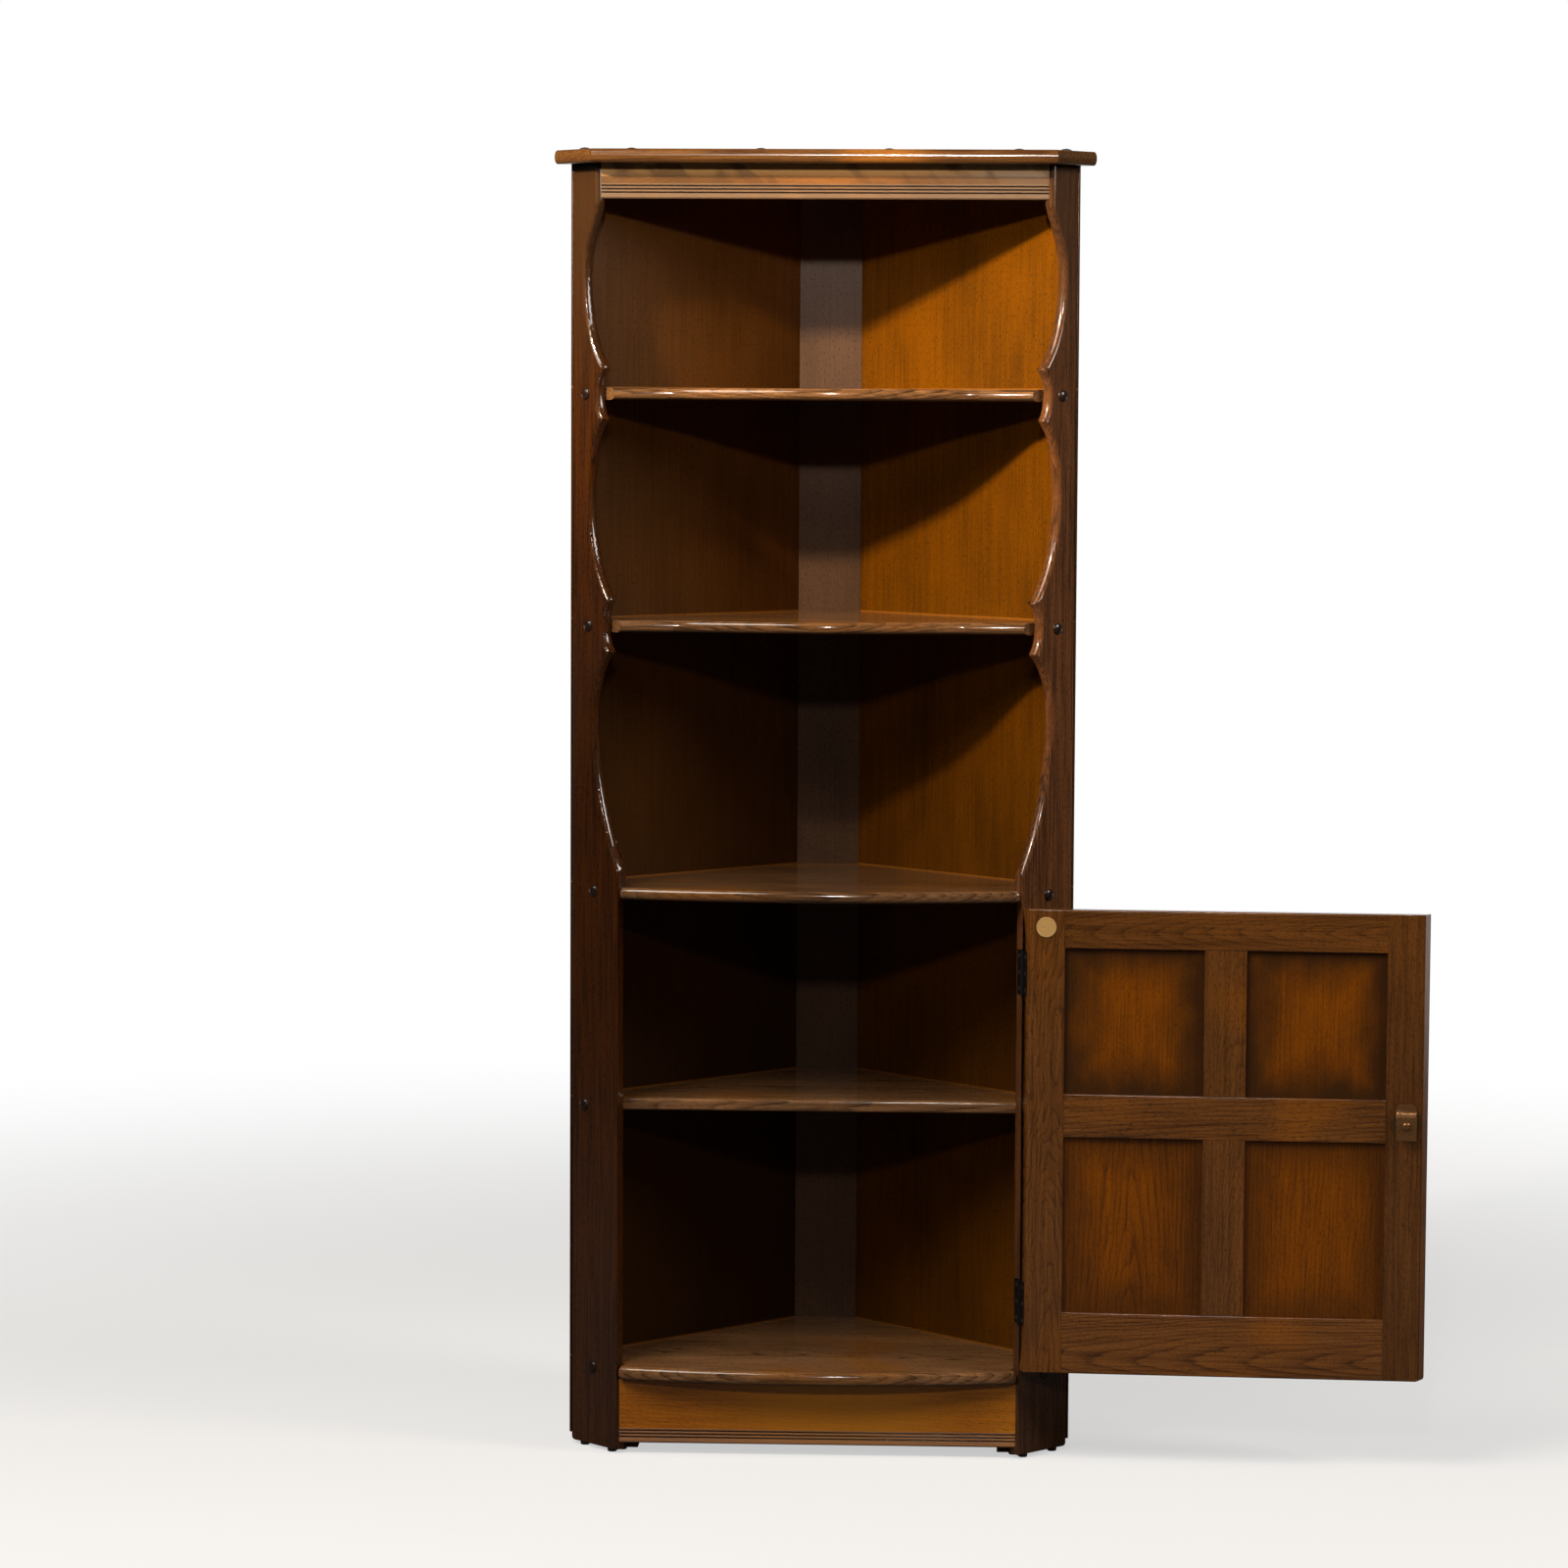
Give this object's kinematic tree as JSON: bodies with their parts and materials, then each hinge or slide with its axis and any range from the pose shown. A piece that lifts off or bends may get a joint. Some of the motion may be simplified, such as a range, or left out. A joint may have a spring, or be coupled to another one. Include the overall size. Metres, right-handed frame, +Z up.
{
  "type": "corner cupboard",
  "caption": "Tall corner cupboard with scalloped open shelves above a panelled hinged door with a turn latch and drop ring.",
  "frame": {"origin": "floor under the middle of the back post, beside the room's corner", "axes": "+Z up, +Y into the room's corner, +X to the right as seen from the front"},
  "size_m": [1.2639, 0.482, 1.8937],
  "materials": {
    "side_wood": "very dark stained wood under satin lacquer",
    "rail_wood": "dark amber stained elm under satin gloss lacquer",
    "shelf_wood": "dark stained elm under satin gloss lacquer",
    "panel_wood": "amber stained veneer under satin lacquer",
    "door_wood": "dark stained elm under satin gloss lacquer",
    "post_wood": "matt grey-brown stained wood",
    "peg_wood": "dark polished wooden peg",
    "hinge_steel": "dark worn steel",
    "latch_steel": "tarnished steel",
    "brass": "lacquered brass",
    "glide_plastic": "black plastic glide"
  },
  "bodies": {
    "carcase": {"top_board": "rail_wood", "frieze_rail": "rail_wood", "plinth_rail": "rail_wood", "left_side_board": "side_wood", "right_side_board": "side_wood", "back_post": "post_wood", "left_back_panel": "panel_wood", "right_back_panel": "panel_wood", "upper_shelf": "shelf_wood", "lower_shelf": "shelf_wood", "waist_shelf": "shelf_wood", "cupboard_shelf": "shelf_wood", "bottom_shelf": "shelf_wood", "left_corner_block": "post_wood", "right_corner_block": "post_wood", "post_glide": "glide_plastic", "left_rear_glide": "glide_plastic", "left_front_glide": "glide_plastic", "left_block_glide": "glide_plastic", "right_rear_glide": "glide_plastic", "right_front_glide": "glide_plastic", "right_block_glide": "glide_plastic", "left_peg_upper_shelf": "peg_wood", "left_peg_lower_shelf": "peg_wood", "left_peg_waist": "peg_wood", "left_peg_cupboard_shelf": "peg_wood", "left_peg_bottom_shelf": "peg_wood", "right_peg_upper_shelf": "peg_wood", "right_peg_lower_shelf": "peg_wood", "right_peg_waist": "peg_wood", "right_peg_cupboard_shelf": "peg_wood", "right_peg_bottom_shelf": "peg_wood", "lower_hinge_frame_leaf": "hinge_steel", "lower_hinge_pin": "hinge_steel", "upper_hinge_frame_leaf": "hinge_steel", "upper_hinge_pin": "hinge_steel"},
    "door": {"door_hinge_stile": "door_wood", "door_lock_stile": "door_wood", "door_top_rail": "door_wood", "door_middle_rail": "door_wood", "door_bottom_rail": "door_wood", "door_upper_muntin": "door_wood", "door_lower_muntin": "door_wood", "door_panel_lower_lock_side": "panel_wood", "door_panel_lower_hinge_side": "panel_wood", "door_panel_upper_lock_side": "panel_wood", "door_panel_upper_hinge_side": "panel_wood", "handle_rose": "brass", "latch_washer": "brass", "door_badge": "brass", "lower_hinge_door_leaf": "hinge_steel", "upper_hinge_door_leaf": "hinge_steel"},
    "latch": {"latch_spindle": "brass", "latch_tongue": "latch_steel", "latch_nut": "latch_steel"},
    "drop_ring": {"drop_ring": "brass"}
  },
  "joints": [
    {"name": "door_hinge", "type": "hinge", "parent": "carcase", "child": "door", "pos_m": [0.2923, -0.40164, 0.47], "axis": [0, 0, 1], "range_deg": [-176.7, 48]},
    {"name": "latch_turn", "type": "hinge", "parent": "door", "child": "latch", "pos_m": [0.84246, -0.43727, 0.50529], "axis": [0.0576, 0.9983, 0], "range_deg": [0, 90]},
    {"name": "ring_swing", "type": "hinge", "parent": "latch", "child": "drop_ring", "pos_m": [0.8431, -0.42624, 0.50529], "axis": [0.9983, -0.0576, 0], "range_deg": [-8, 160]}
  ]
}
